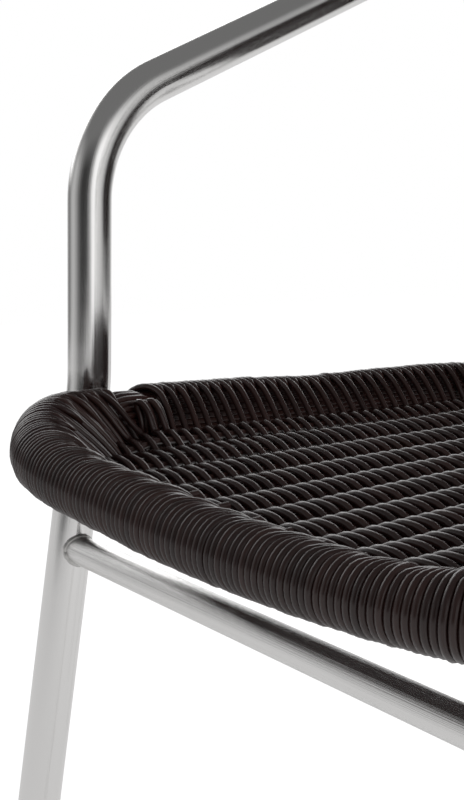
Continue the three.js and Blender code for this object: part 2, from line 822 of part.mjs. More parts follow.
footPlug('front_left_foot', frontFoot, frontFootAxis);
footPlug('front_right_foot', flipX(frontFoot), flipX(frontFootAxis));
footPlug('rear_left_foot', rearFoot, rearFootAxis);
footPlug('rear_right_foot', flipX(rearFoot), flipX(rearFootAxis));

// The origin stands on the floor under the middle of the whole chair

const extent = new THREE.Box3().setFromObject(chair);
chair.position.y = -(extent.min.y + extent.max.y) / 2;

export default chair;
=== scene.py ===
import math

import bpy
import numpy as np
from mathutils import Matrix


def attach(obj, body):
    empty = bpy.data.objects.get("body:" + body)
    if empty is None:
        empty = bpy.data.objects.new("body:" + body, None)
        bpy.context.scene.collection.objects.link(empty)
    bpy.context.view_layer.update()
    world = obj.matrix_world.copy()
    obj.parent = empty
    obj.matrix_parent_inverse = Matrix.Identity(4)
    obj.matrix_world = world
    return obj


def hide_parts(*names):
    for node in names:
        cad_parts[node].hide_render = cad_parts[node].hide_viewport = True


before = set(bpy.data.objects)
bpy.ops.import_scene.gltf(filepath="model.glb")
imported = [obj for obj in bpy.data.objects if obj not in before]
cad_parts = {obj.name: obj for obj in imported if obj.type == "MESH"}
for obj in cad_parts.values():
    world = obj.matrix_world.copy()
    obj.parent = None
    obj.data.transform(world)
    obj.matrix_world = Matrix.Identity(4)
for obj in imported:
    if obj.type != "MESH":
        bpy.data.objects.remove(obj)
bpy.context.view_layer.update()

# Seat ring. A 22 mm aluminium tube bent to a rounded rectangle and welded at the back. The whole
# seat is wound on it, so it is hidden under the strands. Lengths are in millimetres from the
# middle of the seat, and plant() moves them to the middle of the chair.

seat_middle_y = -48.37
ring_half_width = 188.0
ring_half_depth = 205.0
ring_squareness = 4.9
ring_height = 430.0
ring_back_drop = 7.0
ring_front_sag = 5.0
ring_corner_lift = 13.0


def plant(points):
    """Millimetres from the middle of the seat as metres in the chair's frame."""
    placed = np.array(points, float)
    placed[..., 1] += seat_middle_y
    return placed * 0.001


def ring_height_at(x, y):
    """Height of the ring: it falls to the back, lifts at the front corners and sags between them."""
    from_front = (y + ring_half_depth) / (2 * ring_half_depth)
    forward = np.maximum(-y / ring_half_depth, 0)
    lift = ring_corner_lift * (x / ring_half_width) ** 2 - ring_front_sag
    return ring_height - ring_back_drop * from_front + lift * forward**2


# The ring's centre-line, from the middle of the back over the left side, the front and the right
ring_turn = np.linspace(0, 2 * math.pi, 7201)
ring_reach = (
    np.abs(np.sin(ring_turn) / ring_half_width) ** ring_squareness
    + np.abs(np.cos(ring_turn) / ring_half_depth) ** ring_squareness
) ** (-1 / ring_squareness)
ring_x = -ring_reach * np.sin(ring_turn)
ring_y = ring_reach * np.cos(ring_turn)
ring_steps = np.hypot(np.diff(ring_x), np.diff(ring_y))
ring_along = np.concatenate([[0], np.cumsum(ring_steps)])
ring_length = ring_along[-1]
ring_tangent = np.stack([np.gradient(ring_x), np.gradient(ring_y)], 1)
ring_tangent /= np.linalg.norm(ring_tangent, axis=1, keepdims=True)
ring_out_x = ring_tangent[:, 1]
ring_out_y = -ring_tangent[:, 0]


def ring_at(along):
    """Centre point and outward direction of the ring at a length along it."""
    along = np.asarray(along) % ring_length
    x = np.interp(along, ring_along, ring_x)
    y = np.interp(along, ring_along, ring_y)
    out_x = np.interp(along, ring_along, ring_out_x)
    out_y = np.interp(along, ring_along, ring_out_y)
    size = np.hypot(out_x, out_y)
    point = np.stack([x, y, ring_height_at(x, y)], -1)
    return point, np.stack([out_x / size, out_y / size, np.zeros_like(size)], -1)


def linear(hex_colour):
    """An sRGB hex colour as the linear colour that a shader socket takes."""
    parts = [int(hex_colour[i : i + 2], 16) / 255 for i in (1, 3, 5)]
    return [c / 12.92 if c <= 0.04045 else ((c + 0.055) / 1.055) ** 2.4 for c in parts] + [1.0]


def feed(node, inputs):
    """Sets or links a node's inputs. A node as an input is its first output in use."""
    for key, value in inputs.items():
        if isinstance(value, bpy.types.Node):
            value = next(socket for socket in value.outputs if socket.enabled)
        if isinstance(value, bpy.types.NodeSocket):
            node.id_data.links.new(value, node.inputs[key])
        else:
            node.inputs[key].default_value = value


def put(tree, kind, inputs=None, **settings):
    """Adds a node with its settings, values and links."""
    node = tree.nodes.new(kind)
    for name, value in settings.items():
        setattr(node, name, value)
    feed(node, inputs or {})
    return node


def new_material(name):
    """An empty node material and its tree, with the surface shader joined to the output."""
    material = bpy.data.materials.new(name)
    material.use_nodes = True
    material.node_tree.nodes.clear()
    tree = material.node_tree
    shader = put(tree, "ShaderNodeBsdfPrincipled")
    put(tree, "ShaderNodeOutputMaterial", {"Surface": shader})
    return material, tree, shader


# Mill-finish aluminium, as drawn: pale grey, dulled by a thin, slightly blotched oxide
mill_aluminium, tree, shader = new_material("mill_finish_aluminium")
place = put(tree, "ShaderNodeTexCoord").outputs["Object"]
blotch = put(tree, "ShaderNodeTexNoise", {"Vector": place, "Scale": 90.0, "Detail": 4.0})
greys = {"Factor": blotch, "A": linear("#b4b6b8"), "B": linear("#cfd0d2")}
shade = put(tree, "ShaderNodeMix", greys, data_type="RGBA")
dull = put(tree, "ShaderNodeMapRange", {"Value": blotch, "To Min": 0.34, "To Max": 0.5})
feed(shader, {"Base Color": shade, "Roughness": dull, "Metallic": 1.0})

ring_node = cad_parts["seat_ring_tube"]
ring_node.data.materials.clear()
ring_node.data.materials.append(mill_aluminium)

# Front legs, arms and top of the back: one 25 mm aluminium tube, bent on a roller bender, then
# buffed and clear anodised. It passes just outside the wound rim and carries the seat on bolts.

tube_radius = 12.5
roll_radius = 20.0
leg_clearance = 0.7
bolt_setback = 83.0
notch_width = 18.0
rear_bolt_turn = math.radians(45)
front_foot_spread = 10.0
front_foot_forward = 64.5
arm_rise = 153.0
arm_knee_lean = 4.0
arm_end_ahead = 101.0
arm_slope = 0.435
knee_radius = 150.0
arm_bend_radius = 77.0
back_bow = 195.0
back_rise = 55.0
back_rise_share = 2.42
foot_height = 7.0
# Straight runs of the tubes are divided at this length
tube_step = 12

along_front_left = ring_along[np.argmax((ring_x < 0) & (ring_y < bolt_setback - ring_half_depth))]
along_rear_left = ring_along[
    np.argmax(np.arctan2(-ring_x / ring_half_width, ring_y / ring_half_depth) > rear_bolt_turn)
]


def notch_middle(along):
    """Middle of a notch and the direction straight out from it."""
    (a, b), (out_a, out_b) = ring_at(np.array([along - notch_width / 2, along + notch_width / 2]))
    outward = out_a + out_b
    return (a + b) / 2, outward / np.linalg.norm(outward)


leg_reach = roll_radius + leg_clearance + tube_radius
front_bolt, front_bolt_out = notch_middle(along_front_left)
leg_at_ring = front_bolt + front_bolt_out * leg_reach
front_foot = np.array([leg_at_ring[0] - front_foot_spread, leg_at_ring[1] - front_foot_forward, 0])


def knee_above(at_ring, foot, rise):
    """Point of a leg's line that lies a rise above its place at the ring."""
    axis = at_ring - foot
    return at_ring + axis * rise / axis[2]


def unit(vector):
    return vector / np.linalg.norm(vector)


leg_knee = knee_above(leg_at_ring, front_foot, roll_radius)
arm_knee = leg_knee + [0, arm_knee_lean, arm_rise]
arm_run = 2 * ring_half_depth - bolt_setback - arm_end_ahead
arm_end = arm_knee + [0, arm_run, arm_slope * arm_run]
front_tube_end = front_foot + unit(leg_knee - front_foot) * foot_height


def bent_path(corners, radii, bend_step=2.5):
    """A path of straight runs joined by round bends."""
    points = [corners[0]]
    for before, corner, after, radius in zip(corners, corners[1:], corners[2:], radii):
        back, ahead = unit(before - corner), unit(after - corner)
        half = math.acos(np.clip(back @ ahead, -1, 1)) / 2
        middle = corner + unit(back + ahead) * radius / math.sin(half)
        start = corner + back * radius / math.tan(half) - middle
        side = unit(np.cross(np.cross(start, ahead), start))
        sweep = math.pi - 2 * half
        for turn in np.linspace(0, sweep, max(6, int(math.degrees(sweep) / bend_step))):
            points.append(middle + start * math.cos(turn) + side * radius * math.sin(turn))
    points.append(corners[-1])
    return np.array(points)


def filled(points, step):
    """The same path with its long straight runs divided."""
    out = [points[0]]
    for a, b in zip(points, points[1:]):
        count = max(1, int(round(np.linalg.norm(b - a) / step)))
        out += [a + (b - a) * k / count for k in range(1, count + 1)]
    return np.array(out)


def back_at(share):
    """Point of the bowed top of the back: share 0 is the arm's end, 1 the middle of the back."""
    turn = share * math.pi / 2
    climb = 1 - (1 - share) ** back_rise_share
    x = arm_end[0] * np.cos(turn)
    y = arm_end[1] + back_bow * np.sin(turn)
    return np.stack([x, y, arm_end[2] + back_rise * climb], -1)


def mirrored(points):
    """The same line on the other side of the chair, run the other way."""
    return np.array(points)[::-1] * [-1, 1, 1]


left_arm = bent_path([front_tube_end, leg_knee, arm_knee, arm_end], [knee_radius, arm_bend_radius])
left_back = back_at(np.linspace(0, 1, 61)[1:])
main_left = np.concatenate([left_arm, left_back])
main_line = filled(np.concatenate([main_left, mirrored(main_left)[1:]]), tube_step)


def line_mesh(name, lines, closed=False):
    """Open or closed lines, in millimetres from the middle of the seat, as a mesh of edges."""
    points, edges, girths = [], [], []
    first = 0
    for line in lines:
        line = np.asarray(line)
        count = len(line)
        points.append(line[:, :3])
        girths.append(line[:, 3] if line.shape[1] > 3 else np.ones(count))
        edges += [(first + k, first + k + 1) for k in range(count - 1)]
        if closed:
            edges.append((first + count - 1, first))
        first += count
    mesh = bpy.data.meshes.new(name)
    mesh.from_pydata(plant(np.concatenate(points)).tolist(), edges, [])
    mesh.attributes.new("girth", "FLOAT", "POINT").data.foreach_set("value", np.concatenate(girths))
    return mesh


def new_tree(name, inputs):
    """A Geometry Nodes tree with a geometry input and output and the named inputs."""
    tree = bpy.data.node_groups.new(name, "GeometryNodeTree")
    for label, kind in {"Lines": "Geometry", **inputs}.items():
        tree.interface.new_socket(label, in_out="INPUT", socket_type="NodeSocket" + kind)
    tree.interface.new_socket("Solid", in_out="OUTPUT", socket_type="NodeSocketGeometry")
    return tree, put(tree, "NodeGroupInput")


def finish_sweep(tree, start, lines, scale):
    """Gives curves a round section and keeps length along, place around and a tone per strand."""
    length = put(tree, "GeometryNodeSplineParameter")
    path = put(tree, "GeometryNodeCaptureAttribute", {"Geometry": lines})
    path.capture_items.new("FLOAT", "along")
    feed(path, {1: length.outputs["Length"]})
    number = put(tree, "GeometryNodeInputIndex")
    tone = put(tree, "FunctionNodeRandomValue", {"ID": number, "Seed": 7})
    toned = put(tree, "GeometryNodeCaptureAttribute", {"Geometry": path}, domain="CURVE")
    toned.capture_items.new("FLOAT", "tone")
    feed(toned, {1: tone})
    round_share = put(tree, "GeometryNodeSplineParameter")
    turn = put(tree, "ShaderNodeMath", {0: round_share, 1: math.tau}, operation="MULTIPLY")
    cosine = put(tree, "ShaderNodeMath", {0: turn}, operation="COSINE")
    sine = put(tree, "ShaderNodeMath", {0: turn}, operation="SINE")
    around = put(tree, "ShaderNodeCombineXYZ", {"X": cosine, "Y": sine})
    round_sizes = {"Resolution": start.outputs["Sides"], "Radius": start.outputs["Radius"]}
    ring = put(tree, "GeometryNodeCurvePrimitiveCircle", round_sizes)
    section = put(tree, "GeometryNodeCaptureAttribute", {"Geometry": ring})
    section.capture_items.new("VECTOR", "around")
    feed(section, {1: around})
    parts = {"Curve": toned, "Profile Curve": section, "Scale": scale, "Fill Caps": True}
    solid = put(tree, "GeometryNodeCurveToMesh", parts)
    for label, kind, value in (
        ("along", "FLOAT", path.outputs[1]),
        ("tone", "FLOAT", toned.outputs[1]),
        ("around", "FLOAT_VECTOR", section.outputs[1]),
    ):
        kept = {"Geometry": solid, "Name": label, "Value": value}
        solid = put(tree, "GeometryNodeStoreNamedAttribute", kept, data_type=kind)
    smooth = put(tree, "GeometryNodeSetShadeSmooth", {"Geometry": solid})
    real = put(tree, "GeometryNodeRealizeInstances", {"Geometry": smooth})
    finish = {"Geometry": real, "Material": start.outputs["Material"]}
    dressed = put(tree, "GeometryNodeSetMaterial", finish)
    put(tree, "NodeGroupOutput", {"Solid": dressed})


# Sweeps a round section along each line
sweep_inputs = {"Radius": "Float", "Sides": "Int", "Material": "Material"}
sweep_tree, start = new_tree("round_section_along_lines", sweep_inputs)
girth = put(sweep_tree, "GeometryNodeInputNamedAttribute", {"Name": "girth"}, data_type="FLOAT")
curves = put(sweep_tree, "GeometryNodeMeshToCurve", {"Mesh": start.outputs["Lines"]})
finish_sweep(sweep_tree, start, curves, girth)


def grown(name, mesh, tree, values, slot, *nodes):
    """A piece made from a line mesh by a tree. It rides on the chair and stands for the nodes."""
    piece = bpy.data.objects.new(name, mesh)
    bpy.context.scene.collection.objects.link(piece)
    modifier = piece.modifiers.new(tree.name, "NODES")
    modifier.node_group = tree
    for item in tree.interface.items_tree:
        if item.item_type == "SOCKET" and item.in_out == "INPUT" and item.name in values:
            modifier[item.identifier] = values[item.name]
    evaluated = piece.evaluated_get(bpy.context.evaluated_depsgraph_get())
    made = bpy.data.meshes.new_from_object(evaluated)
    piece.modifiers.clear()
    piece.data = made
    made.name = name
    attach(piece, "root")
    if nodes:
        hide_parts(*nodes)


def swept(name, lines, radius, sides, material, slot, *nodes, closed=False):
    """A piece with a round section along each line, its radius in millimetres."""
    values = {"Radius": radius * 0.001, "Sides": sides, "Material": material}
    grown(name, line_mesh(name + "_lines", lines, closed), sweep_tree, values, slot, *nodes)


def lengthwise(tree, across, scale, detail):
    """Noise drawn out into lines along a tube or a strand, finer the larger across is."""
    along = put(tree, "ShaderNodeAttribute", attribute_name="along")
    around = put(tree, "ShaderNodeAttribute", attribute_name="around")
    stretch = put(tree, "ShaderNodeCombineXYZ", {"Z": along.outputs["Fac"]})
    parts = {0: around.outputs["Vector"], 1: (across, across, 0.0), 2: stretch}
    lines_at = put(tree, "ShaderNodeVectorMath", parts, operation="MULTIPLY_ADD")
    return put(tree, "ShaderNodeTexNoise", {"Vector": lines_at, "Scale": scale, "Detail": detail})


# Polished, clear-anodised aluminium: a bright mirror broken by faint lengthwise buffing lines
# and a soft unevenness from the bending, so reflections stay in long bands with soft edges
polished_aluminium, tree, shader = new_material("polished_anodised_aluminium")
# About 180 fine lines round a tube, each some 300 mm long
lines = lengthwise(tree, 9.5, 3.0, 3.0)
place = put(tree, "ShaderNodeTexCoord").outputs["Object"]
wave = put(tree, "ShaderNodeTexNoise", {"Vector": place, "Scale": 28.0, "Detail": 1.0})
buff = put(tree, "ShaderNodeMapRange", {"Value": lines, "To Min": 0.10, "To Max": 0.19})
dent = put(tree, "ShaderNodeBump", {"Height": wave, "Strength": 0.05, "Distance": 0.004})
scored = {"Height": lines, "Strength": 0.12, "Distance": 0.0006, "Normal": dent}
score = put(tree, "ShaderNodeBump", scored)
feed(shader, {"Base Color": linear("#e6e5e4"), "Roughness": buff, "Metallic": 1.0, "Normal": score})

polished = (polished_aluminium, "polished_aluminium")
swept("front_legs_arms_and_back_tube", [main_line], tube_radius, 48, *polished, "main_tube")

# Rear legs. Two more 25 mm tubes, splayed below the seat, bent upright beside it, and mitred
# and welded under the top of the back, where they serve as its posts.

rear_foot_back = 90.0
rear_foot_spread = 19.0
post_knee_above = 20.0
post_knee_radius = 120.0
post_share = 0.41

rear_bolt, rear_bolt_out = notch_middle(along_rear_left)
post_at_ring = rear_bolt + rear_bolt_out * leg_reach
rear_foot = np.array([post_at_ring[0] - rear_foot_spread, post_at_ring[1] + rear_foot_back, 0])
post_knee = knee_above(post_at_ring, rear_foot, post_knee_above)
rear_tube_end = rear_foot + unit(post_knee - rear_foot) * foot_height
post_top = back_at(post_share)
post_axis = unit(post_top - post_knee)
rear_line = filled(bent_path([rear_tube_end, post_knee, post_top], [post_knee_radius]), tube_step)

for name, node, line in (
    ("rear_left_leg_tube", "rear_left_leg", rear_line),
    ("rear_right_leg_tube", "rear_right_leg", mirrored(rear_line)),
):
    swept(name, [line], tube_radius, 40, *polished, node)

# Crossbars and lower back rail. Three 17 mm aluminium tubes. Their ends are cut to the round of
# the legs and posts and joined by small weld beads, ripple on ripple, left as welded.

# Crossbar finish: the same metal less finely polished, so its reflections break into streaks
brushed_aluminium = polished_aluminium.copy()
brushed_aluminium.name = "brushed_anodised_aluminium"
brushed_aluminium.node_tree.nodes[buff.name].inputs["To Min"].default_value = 0.08
brushed_aluminium.node_tree.nodes[buff.name].inputs["To Max"].default_value = 0.24
brushed_aluminium.node_tree.nodes[score.name].inputs["Strength"].default_value = 0.35
brushed_aluminium.node_tree.nodes[dent.name].inputs["Strength"].default_value = 0.12

crossbar_radius = 8.5
crossbar_below = 73.7
rail_above = 92.0
rail_bow = 42.0
bead_radius = 1.3
bead_ripple = 2.4
bead_swell = 0.16


def on_leg(foot, axis, z):
    """Point of a leg's line at a height."""
    return foot + axis * (z - foot[2]) / axis[2]


crossbar_z = ring_height - crossbar_below
front_axis = unit(leg_knee - front_foot)
rear_axis = unit(post_knee - rear_foot)
front_bar_end = on_leg(front_foot, front_axis, crossbar_z)
rear_bar_end = on_leg(rear_foot, rear_axis, crossbar_z)
rail_end = on_leg(post_knee, post_axis, post_at_ring[2] + rail_above)
side_share = np.linspace(1, -1, 49)
rail_line = np.stack(
    [
        rail_end[0] * side_share,
        rail_end[1] + rail_bow * (1 - side_share**2),
        np.full_like(side_share, rail_end[2]),
    ],
    -1,
)
front_bar = filled(np.array([front_bar_end, front_bar_end * [-1, 1, 1]]), tube_step)
rear_bar = filled(np.array([rear_bar_end, rear_bar_end * [-1, 1, 1]]), tube_step)
for name, node, line in (
    ("front_crossbar_tube", "front_crossbar", front_bar),
    ("rear_crossbar_tube", "rear_crossbar", rear_bar),
    ("lower_back_rail_tube", "back_lower_rail", rail_line),
):
    swept(name, [line], crossbar_radius, 36, brushed_aluminium, "plain_aluminium", node)

# Weld bead: matt silvery metal, rippled along its length
weld_metal, tree, shader = new_material("weld_bead_aluminium")
place = put(tree, "ShaderNodeTexCoord").outputs["Object"]
grit = put(tree, "ShaderNodeTexNoise", {"Vector": place, "Scale": 900.0, "Detail": 2.0})
scale_dull = put(tree, "ShaderNodeMapRange", {"Value": grit, "To Min": 0.28, "To Max": 0.55})
feed(shader, {"Base Color": linear("#c9c8c6"), "Roughness": scale_dull, "Metallic": 1.0})


def bead_line(middle, bar_axis, leg_axis, bar_radius):
    """The line where a bar meets a round leg, with the bead's ripples in its girth."""
    turn = np.linspace(0, math.tau, 144, endpoint=False)
    up = unit(np.cross(bar_axis, np.cross(leg_axis, bar_axis)))
    side = np.cross(bar_axis, up)
    ring = bar_radius * (np.cos(turn)[:, None] * up + np.sin(turn)[:, None] * side)
    # Slide each point of the bar's surface out along the bar to the leg's surface
    flat_bar = bar_axis - leg_axis * (bar_axis @ leg_axis)
    flat_ring = ring - np.outer(ring @ leg_axis, leg_axis)
    a = flat_bar @ flat_bar
    b = flat_ring @ flat_bar
    c = (flat_ring**2).sum(1) - tube_radius**2
    out = (-b + np.sqrt(b * b - a * c)) / a
    girth = 1 + bead_swell * np.abs(np.sin(turn * bar_radius / bead_ripple * math.pi / 2))
    return np.column_stack([middle + ring + out[:, None] * bar_axis, girth])


across = np.array([1.0, 0.0, 0.0])
flip = np.array([-1, 1, 1])
rail_lead = unit(rail_line[1] - rail_line[0])
bead_lines = []
for middle, bar_axis, leg_axis in (
    (front_bar_end, across, front_axis),
    (rear_bar_end, across, rear_axis),
    (rail_end, rail_lead, post_axis),
):
    bead_lines.append(bead_line(middle, bar_axis, leg_axis, crossbar_radius))
    bead_lines.append(bead_line(middle * flip, bar_axis * flip, leg_axis * flip, crossbar_radius))
swept("weld_beads", bead_lines, bead_radius, 10, weld_metal, "plain_aluminium", closed=True)

# Rattan. Round strand, 3.6 to 4 mm thick, extruded from dark brown-black polyethylene. The first
# strands are laid lengthwise on the seat ring, where they fill the roll out, and end past the
# front corners. In the open notches beside the front legs they lie loose.

strand_radius = 1.9
front_strand_radius = 1.8
under_strands = 28
under_steps = 190
under_loose_radius = 16.9
under_end_left = 118.0
under_end_right = 158.0
under_unevenness = 0.22
# Under the side turns they lie this much deeper, so that the gaps between the turns are dark
under_sink = 1.2
under_sink_from = 16.5
# Past a notch's edge they are pressed down again over this length
notch_margin = 5.0
notch_fade = 7.0

# Extruded polyethylene: near-black warm brown, satin, each strand a little lighter or darker than
# the next. Fine die lines run along it, about 55 round a strand, and soften its highlights
rattan, tree, shader = new_material("extruded_polyethylene_rattan")
tone = put(tree, "ShaderNodeAttribute", attribute_name="tone")
place = put(tree, "ShaderNodeTexCoord").outputs["Object"]
cloud = put(tree, "ShaderNodeTexNoise", {"Vector": place, "Scale": 55.0, "Detail": 4.0})
blend = put(tree, "ShaderNodeMath", {0: tone.outputs["Fac"], 1: 0.6, 2: cloud}, operation="MULTIPLY_ADD")
shade = put(tree, "ShaderNodeMapRange", {"Value": blend, "From Min": 0.2, "From Max": 1.3})
browns = {"Factor": shade, "A": linear("#241615"), "B": linear("#3a231f")}
colour = put(tree, "ShaderNodeMix", browns, data_type="RGBA")
die_lines = lengthwise(tree, 2.2, 4.0, 2.0)
satin = put(tree, "ShaderNodeMapRange", {"Value": die_lines, "To Min": 0.18, "To Max": 0.32})
skin = put(tree, "ShaderNodeBump", {"Height": die_lines, "Strength": 0.35, "Distance": 0.0002})
feed(shader, {"Base Color": colour, "Roughness": satin, "Normal": skin, "Specular IOR Level": 0.5})


def strands(name, lines, radius, node):
    """A piece of rattan strands along the lines."""
    swept(name, lines, radius, 8, rattan, "rattan_strand", node)


shake = np.random.default_rng(11)


def rough(points, amount, reach=3):
    """Points moved a little out of true, as hand winding leaves them."""
    count = len(points)
    knots = max(3, count // reach)
    moves = shake.normal(0, amount, (knots, 3))
    at = np.linspace(0, knots - 1, count)
    return points + np.stack([np.interp(at, np.arange(knots), moves[:, k]) for k in range(3)], 1)


front_half = np.where(ring_y < 0)[0]


def front_along(x):
    """Length along the ring to the point of its front half at x."""
    return np.interp(x, ring_x[front_half], ring_along[front_half])


# The uneven roll, by length along the ring from the middle of its front, negative to the left:
# its outer radius, and how far its middle lies above the ring's centre-line
roll_shape = [
    (-640, 19.6, 0), (-372, 19.6, 0), (-323, 21.3, 1.3), (-256, 21.6, 1.3), (-200, 21.8, 1.0),
    (-184, 22.8, 0.8), (-172, 22.2, 0.4), (-160, 20.2, -0.4), (-146, 18.6, -1.0), (-130, 17.2, -1.1),
    (-110, 16.1, -0.9), (-86, 15.2, -0.2), (-60, 15.3, 0.7), (-25, 15.3, 0.1), (0, 14.9, -0.4),
    (45, 14.7, -0.5), (90, 14.2, -1.2), (115, 14.4, -1.6), (127, 15.0, -1.7), (150, 17.0, -1.2),
    (165, 18.6, -0.8), (185, 20.4, -0.4), (256, 21.4, 0.6), (323, 21.0, 0.8), (372, 19.6, 0),
    (640, 19.6, 0),
]
roll_at, roll_size, roll_lift = np.array(roll_shape).T


def roll_of(along):
    """Middle line, outward direction and strand-centre radius of the roll at lengths along it."""
    from_front = np.mod(along, ring_length) - ring_length / 2
    point, outward = ring_at(along)
    point[..., 2] += np.interp(from_front, roll_at, roll_lift)
    return point, outward, np.interp(from_front, roll_at, roll_size) - strand_radius


under_from = front_along(under_end_right)
under_to = front_along(-under_end_left) + ring_length
under_at = np.linspace(under_from, under_to, under_steps)
under_point, under_out, turn_radius = roll_of(under_at)
sunk = under_sink * np.clip(turn_radius - under_sink_from, 0, 1)
pressed = turn_radius - 2 * strand_radius - sunk
notch_from_front = ring_length / 2 - along_front_left
from_notch = np.abs(np.abs(under_at % ring_length - ring_length / 2) - notch_from_front)
loose = np.clip((notch_width / 2 + notch_margin - from_notch) / notch_fade, 0, 1)
under_radius = (pressed + loose * (under_loose_radius - pressed))[:, None]
up = np.array([0.0, 0.0, 1.0])
under_lines = []
for k in range(under_strands):
    turn = math.tau * k / under_strands
    line = under_point + under_radius * (math.cos(turn) * under_out + math.sin(turn) * up)
    under_lines.append(rough(line, under_unevenness))
strands("lengthwise_strands_on_the_ring", under_lines, strand_radius, "seat_rim_underwrap")

# Rim winding of the seat's front and its corners. Each turn goes round the ring and on into the
# seat. Along the front the turns are drawn together in bundles where they go in; at the corners
# they run on into the rows of the weave, one over the first rib and the next under it.

rib_pitch = 24.0
rib_count = 14
rib_shift = 3.0
rib_x = rib_shift + rib_pitch * (np.arange(rib_count) - (rib_count - 1) / 2)
rib_rise = 3.7
dish_side_length = 50.0
dish_front_length = 18.0
dish_half_width = 153.0
dish_half_depth = 187.0
# By depth into the seat: how far it is dished, how far it stands above the ring, and how far its
# crests drop at the corners
dish_depth = ([-60, 110], [14.3, 8.0])
crest_rise = ([-60, 60], [3.6, 0.2])
corner_drop = ([-170, -136, -124, -100], [-6.0, -2.2, 0.9, 0])


def even_turns(first, last, radius):
    """Lengths along the ring whose turns lie a strand apart on the roll's outer face."""
    at = np.linspace(first, last, 1600)
    point, outward = ring_at(at)
    face = point + outward * radius
    face_along = np.concatenate([[0], np.cumsum(np.linalg.norm(np.diff(face, axis=0), axis=1))])
    count = int(face_along[-1] / (2 * front_strand_radius)) + 1
    return np.interp(np.linspace(0, face_along[-1], count), face_along, at)


def ease(value):
    """From 0 to 1 with a soft start and a soft end."""
    value = np.clip(value, 0, 1)
    return value * value * (3 - 2 * value)


def hermite(a, b, lead_a, lead_b, count):
    """Points of a smooth run from a to b that leaves and arrives along the two leads."""
    t = np.linspace(0, 1, count + 1)[1:, None]
    return (
        (2 * t**3 - 3 * t**2 + 1) * a
        + (t**3 - 2 * t**2 + t) * lead_a
        + (3 * t**2 - 2 * t**3) * b
        + (t**3 - t**2) * lead_b
    )


def weave_crest(x, y):
    """Height of the crests of the dished weave."""
    to_side = np.exp(-np.maximum(dish_half_width - np.abs(x), 0) / dish_side_length)
    to_edge = np.exp(-np.maximum(dish_half_depth - np.abs(y), 0) / dish_front_length)
    depth = np.interp(y, *dish_depth)
    rise = np.interp(y, *crest_rise)
    at_corner = np.interp(y, *corner_drop) * to_side**4
    return ring_height_at(x, y) + rise + at_corner - depth * (1 - to_side) * (1 - to_edge)


def weft_height(x, y, over):
    """Height of a cross strand's middle, where over is 0 or 1 for the ribs it starts on top of."""
    rib = np.interp(x, rib_x, np.arange(len(rib_x)))
    wave = np.cos(math.pi * (rib + 1 - over))
    return weave_crest(x, y) - strand_radius - rib_rise * (1 - wave * (1.4 - 0.4 * wave * wave))


def around_roll(point, outward, radius, turns, slide=0.0):
    """Points of a turn at the angles given from outward over the top, slid along the ring."""
    tangent = np.cross(up, outward)
    slide = np.broadcast_to(slide, turns.shape)
    reach = np.broadcast_to(radius, turns.shape)
    return (
        point
        + (reach * np.cos(turns))[:, None] * outward
        + (reach * np.sin(turns))[:, None] * up
        + slide[:, None] * tangent
    )


# Rows of the weave: 4.2 mm apart at the front, 4.6 mm behind the middle, alternately over and
# under the first rib. The turns at the sides and at the front corners run on into them
first_row_y = -187.0
last_row_y = 180.0
row_pitch = ([-50, 20], [4.2, 4.6])
weft_y = [first_row_y]
while weft_y[-1] < last_row_y:
    weft_y.append(weft_y[-1] + np.interp(weft_y[-1], *row_pitch))
weft_y = np.array(weft_y)
left_half = np.where((ring_x < 0) & (np.abs(ring_y) < 190))[0][::-1]


def side_along(y):
    """Length along the ring to the point of its left half at y."""
    return np.interp(y, ring_y[left_half], ring_along[left_half])


def passes_over(j, right):
    """Whether row j passes over the first rib that it meets from its side."""
    return (j + (len(rib_x) - 1 if right else 0)) % 2 == 0


# From the crest of the first rib: where a side strand dips before it, and where a corner strand
# comes down on it. A strand that goes under the rib first dives beside the roll
side_dip = [-7.0, 0, -3.6]
side_dip_lead = np.array([11.0, 0, -13.0])
shoulder_place = [-3.6, 0, 0.5]
valley_in = 12
valley_below = 12
valley_lead = np.array([7.0, 0, -16.0])


def into_weave(line, j, right, dips=False):
    """Takes a turn in the left half down to the first rib: over it and on to the next, or under."""
    x_edge = -rib_x[-1] if right else rib_x[0]
    y = weft_y[j]
    sign = -1 if right else 1
    row_over = (j + 1) % 2
    edge = np.array([x_edge, y, weft_height(sign * x_edge, y, row_over)])
    away = unit(line[-1] - line[-2])
    if not passes_over(j, right):
        valley = np.array([line[-1][0] + valley_in, y, edge[2] - valley_below])
        down = hermite(line[-1], valley, away * 14, valley_lead, 8)
        under = hermite(valley, edge + [0, 0, -4], valley_lead, np.array([16.0, 0, 2.0]), 7)
        return np.concatenate([line, down, under])
    if dips:
        low = edge + side_dip
        down = hermite(line[-1], low, away * 26, side_dip_lead, 9)
        crest = hermite(low, edge, side_dip_lead * 0.6, np.array([9.0, 0, 0.3]), 6)
        x_tail = np.linspace(x_edge, x_edge + rib_pitch, 11)[1:]
    else:
        shoulder = edge + shoulder_place
        run = shoulder - line[-1]
        down = hermite(line[-1], shoulder, away * np.linalg.norm(run), run, 9)
        crest = hermite(shoulder, edge + [1.5, 0, -0.2], unit(run) * 4, np.array([4.5, 0, -1.0]), 5)
        x_tail = np.linspace(x_edge + 1.5, x_edge + rib_pitch, 10)[1:]
    z_tail = weft_height(sign * x_tail, y, row_over)
    tail = np.column_stack([x_tail, np.full(len(x_tail), y), z_tail])
    return np.concatenate([line, down, crest, tail])


